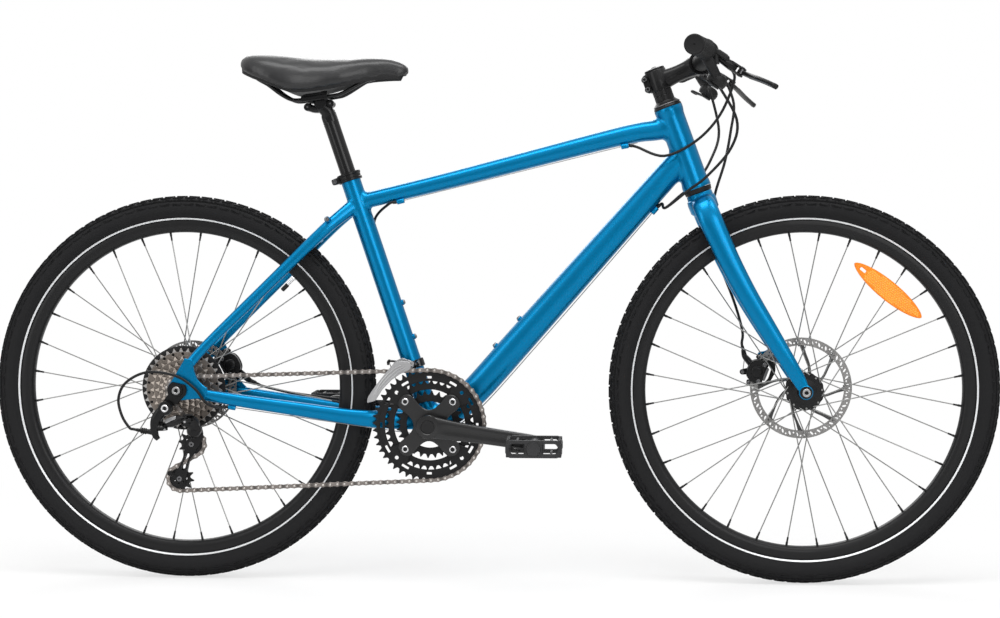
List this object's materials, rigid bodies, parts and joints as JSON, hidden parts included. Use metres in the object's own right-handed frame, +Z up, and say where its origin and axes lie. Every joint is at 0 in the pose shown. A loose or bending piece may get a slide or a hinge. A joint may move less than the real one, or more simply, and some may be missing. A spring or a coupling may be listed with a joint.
{
  "type": "bicycle",
  "caption": "Upright flat-bar bicycle with cable disc brakes, a triple crank, a rear derailleur, wide tyres and a padded saddle.",
  "frame": {"origin": "on the ground, under the middle of the bicycle's box", "axes": "+X forward, +Y to the rider's left, +Z up"},
  "size_m": [1.781, 0.6294, 0.9404],
  "materials": {
    "blue_paint": "glossy metallic blue",
    "black_paint": "satin black",
    "black_plastic": "matt black",
    "rubber": "matt black",
    "tyre_rubber": "matt black with a silver side stripe",
    "vinyl": "soft black cover",
    "steel": "brushed",
    "chain_steel": "oiled brown-grey",
    "silver": "polished",
    "amber": "clear amber"
  },
  "bodies": {
    "frame": {"frame": "blue_paint", "headset_upper_cup": "black_paint", "headset_lower_cup": "black_paint", "bottom_bracket": "black_paint", "seat_clamp": "black_paint", "derailleur_hanger": "black_paint", "rear_axle": "black_paint", "rear_derailleur_mount": "black_paint", "rear_brake_caliper": "black_paint", "front_derailleur_clamp": "black_paint", "chain": "chain_steel", "rear_brake_cable": "rubber", "front_shift_cable": "rubber", "rear_shift_cable": "rubber"},
    "steering": {"fork": "blue_paint", "headset_spacers": "black_paint", "stem": "black_paint", "stem_faceplate": "black_paint", "stem_cap": "black_paint", "handlebar": "black_paint", "grip_left": "rubber", "grip_right": "rubber", "brake_perch_left": "black_paint", "brake_perch_right": "black_paint", "shifter_left": "black_plastic", "shifter_right": "black_plastic", "front_brake_caliper": "black_paint", "front_axle": "black_paint", "front_brake_cable": "rubber"},
    "front_wheel": {"front_wheel": "steel", "front_tyre": "tyre_rubber", "front_rotor": "steel", "wheel_reflector": "amber"},
    "rear_wheel": {"rear_wheel": "steel", "rear_tyre": "tyre_rubber", "rear_rotor": "steel", "spoke_protector": "black_plastic"},
    "cassette": {"cassette": "steel"},
    "crank": {"crank_right": "black_paint", "chainrings": "black_paint", "crank_left": "black_paint", "crank_spindle": "steel"},
    "pedal_right": {"pedal_right": "black_plastic"},
    "pedal_left": {"pedal_left": "black_plastic"},
    "seatpost": {"seatpost": "black_paint"},
    "saddle": {"saddle_clamp": "black_paint", "saddle_rails": "black_paint", "saddle": "vinyl"},
    "brake_lever_right": {"brake_lever_right": "black_paint"},
    "brake_lever_left": {"brake_lever_left": "black_paint"},
    "shift_lever_right": {"shift_lever_right": "black_plastic"},
    "shift_lever_left": {"shift_lever_left": "black_plastic"},
    "front_brake_arm": {"front_brake_arm": "black_paint"},
    "rear_brake_arm": {"rear_brake_arm": "black_paint"},
    "derailleur_link": {"derailleur_link": "black_paint"},
    "derailleur_knuckle": {"derailleur_knuckle": "black_paint"},
    "derailleur_cage": {"derailleur_cage": "black_paint"},
    "guide_pulley": {"guide_pulley": "black_plastic"},
    "tension_pulley": {"tension_pulley": "black_plastic"},
    "front_derailleur": {"front_derailleur_cage": "silver"}
  },
  "joints": [
    {"name": "steering_turn", "type": "hinge", "parent": "frame", "child": "steering", "pos_m": [0.36136, 0, 0.69626], "axis": [-0.3437, 0, 0.9391], "range_deg": [-75, 75], "deforming": ["rear_brake_cable", "front_shift_cable", "rear_shift_cable"]},
    {"name": "front_wheel_spin", "type": "hinge", "parent": "steering", "child": "front_wheel", "pos_m": [0.5485, 0, 0.342], "axis": [0, 1, 0], "continuous": true},
    {"name": "rear_wheel_spin", "type": "hinge", "parent": "frame", "child": "rear_wheel", "pos_m": [-0.5485, 0, 0.342], "axis": [0, 1, 0], "continuous": true},
    {"name": "crank_spin", "type": "hinge", "parent": "frame", "child": "crank", "pos_m": [-0.10669, 0, 0.281], "axis": [0, 1, 0], "continuous": true, "deforming": ["chain"]},
    {"name": "cassette_spin", "type": "hinge", "parent": "frame", "child": "cassette", "pos_m": [-0.5485, 0, 0.342], "axis": [0, 1, 0], "continuous": true},
    {"name": "pedal_right_spin", "type": "hinge", "parent": "crank", "child": "pedal_right", "pos_m": [0.08153, 0, 0.25505], "axis": [0, 1, 0], "continuous": true},
    {"name": "pedal_left_spin", "type": "hinge", "parent": "crank", "child": "pedal_left", "pos_m": [-0.29491, 0, 0.30695], "axis": [0, 1, 0], "continuous": true},
    {"name": "seatpost_height", "type": "slide", "parent": "frame", "child": "seatpost", "axis": [-0.319, 0, 0.9478], "range_m": [-0.095, 0.12]},
    {"name": "saddle_tilt", "type": "hinge", "parent": "seatpost", "child": "saddle", "pos_m": [-0.303, 0, 0.847], "axis": [0, 1, 0], "range_deg": [-15, 15]},
    {"name": "brake_lever_right_pull", "type": "hinge", "parent": "steering", "child": "brake_lever_right", "pos_m": [0.42714, -0.144, 0.88854], "axis": [-0.5446, 0, -0.8387], "range_deg": [0, 32], "stiffness_Nm_per_rad": 1, "springref_deg": -22.92},
    {"name": "brake_lever_left_pull", "type": "hinge", "parent": "steering", "child": "brake_lever_left", "pos_m": [0.42714, 0.144, 0.88854], "axis": [0.5446, 0, 0.8387], "range_deg": [0, 32], "stiffness_Nm_per_rad": 1, "springref_deg": -22.92},
    {"name": "shift_lever_right_push", "type": "hinge", "parent": "steering", "child": "shift_lever_right", "pos_m": [0.38809, -0.148, 0.87484], "axis": [0.5446, 0, 0.8387], "range_deg": [0, 30], "stiffness_Nm_per_rad": 0.5, "springref_deg": -22.92},
    {"name": "shift_lever_left_push", "type": "hinge", "parent": "steering", "child": "shift_lever_left", "pos_m": [0.38809, 0.148, 0.87484], "axis": [-0.5446, 0, -0.8387], "range_deg": [0, 30], "stiffness_Nm_per_rad": 0.5, "springref_deg": -22.92},
    {"name": "front_brake_arm_swing", "type": "hinge", "parent": "steering", "child": "front_brake_arm", "pos_m": [0.47, 0, 0.372], "axis": [0, 1, 0], "range_deg": [0, 24]},
    {"name": "rear_brake_arm_swing", "type": "hinge", "parent": "frame", "child": "rear_brake_arm", "pos_m": [-0.478, 0, 0.379], "axis": [0, -1, 0], "range_deg": [0, 24]},
    {"name": "derailleur_swing", "type": "hinge", "parent": "frame", "child": "derailleur_link", "pos_m": [-0.568, -0.084, 0.279], "axis": [0, 0.7071, 0.7071], "range_deg": [-4, 62]},
    {"name": "derailleur_knuckle_swing", "type": "hinge", "parent": "derailleur_link", "child": "derailleur_knuckle", "pos_m": [-0.52903, -0.09991, 0.29491], "axis": [0, 0.7071, 0.7071], "range_deg": [-63, 5]},
    {"name": "derailleur_cage_swing", "type": "hinge", "parent": "derailleur_knuckle", "child": "derailleur_cage", "pos_m": [-0.517, 0, 0.272], "axis": [0, 1, 0], "range_deg": [-60, 25]},
    {"name": "guide_pulley_spin", "type": "hinge", "parent": "derailleur_cage", "child": "guide_pulley", "pos_m": [-0.52544, 0, 0.24635], "axis": [0, 1, 0], "continuous": true},
    {"name": "tension_pulley_spin", "type": "hinge", "parent": "derailleur_cage", "child": "tension_pulley", "pos_m": [-0.54729, 0, 0.18513], "axis": [0, 1, 0], "continuous": true},
    {"name": "front_derailleur_swing", "type": "hinge", "parent": "frame", "child": "front_derailleur", "pos_m": [-0.13924, -0.04, 0.384], "axis": [0.9478, 0, 0.319], "range_deg": [0, 16]}
  ],
  "couplings": [
    {"joint": "cassette_spin", "follows": "crank_spin", "ratio": 4.3636},
    {"joint": "guide_pulley_spin", "follows": "crank_spin", "ratio": -4.3636},
    {"joint": "tension_pulley_spin", "follows": "crank_spin", "ratio": 4.3636},
    {"joint": "front_brake_arm_swing", "follows": "brake_lever_left_pull", "ratio": 0.7},
    {"joint": "rear_brake_arm_swing", "follows": "brake_lever_right_pull", "ratio": 0.7},
    {"joint": "derailleur_knuckle_swing", "follows": "derailleur_swing", "ratio": -1}
  ]
}
